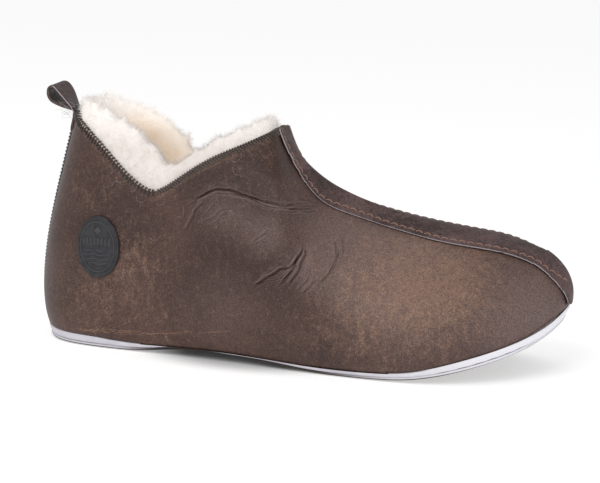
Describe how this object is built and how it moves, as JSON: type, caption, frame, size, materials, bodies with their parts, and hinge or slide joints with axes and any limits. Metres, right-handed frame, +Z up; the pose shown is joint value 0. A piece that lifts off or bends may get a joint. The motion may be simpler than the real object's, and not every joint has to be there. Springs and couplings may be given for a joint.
{
  "type": "ankle slipper",
  "caption": "Right-foot pull-on ankle slipper with a hollow leather upper, deep fleece lining, a strip over the instep, a heel loop and a thin foam sole.",
  "frame": {"origin": "middle of the footprint, on the floor the shoe stands on", "axes": "+X from the heel to the toe, +Y to the inner side of the right foot, +Z up"},
  "size_m": [0.2852, 0.1054, 0.1356],
  "materials": {
    "upper_leather": "worn, waxed",
    "fleece": "deep pile",
    "strip_suede": "suede",
    "badge_rubber": "matte",
    "loop_leather": "smooth",
    "insole_fleece": "deep pile",
    "foam": "matte",
    "outsole_suede": "suede"
  },
  "bodies": {
    "root": {"upper": "upper_leather", "wool_lining": "fleece", "vamp_strip": "strip_suede", "side_badge": "badge_rubber", "pull_loop": "loop_leather", "insole": "insole_fleece", "midsole": "foam", "outsole": "outsole_suede"}
  },
  "joints": []
}
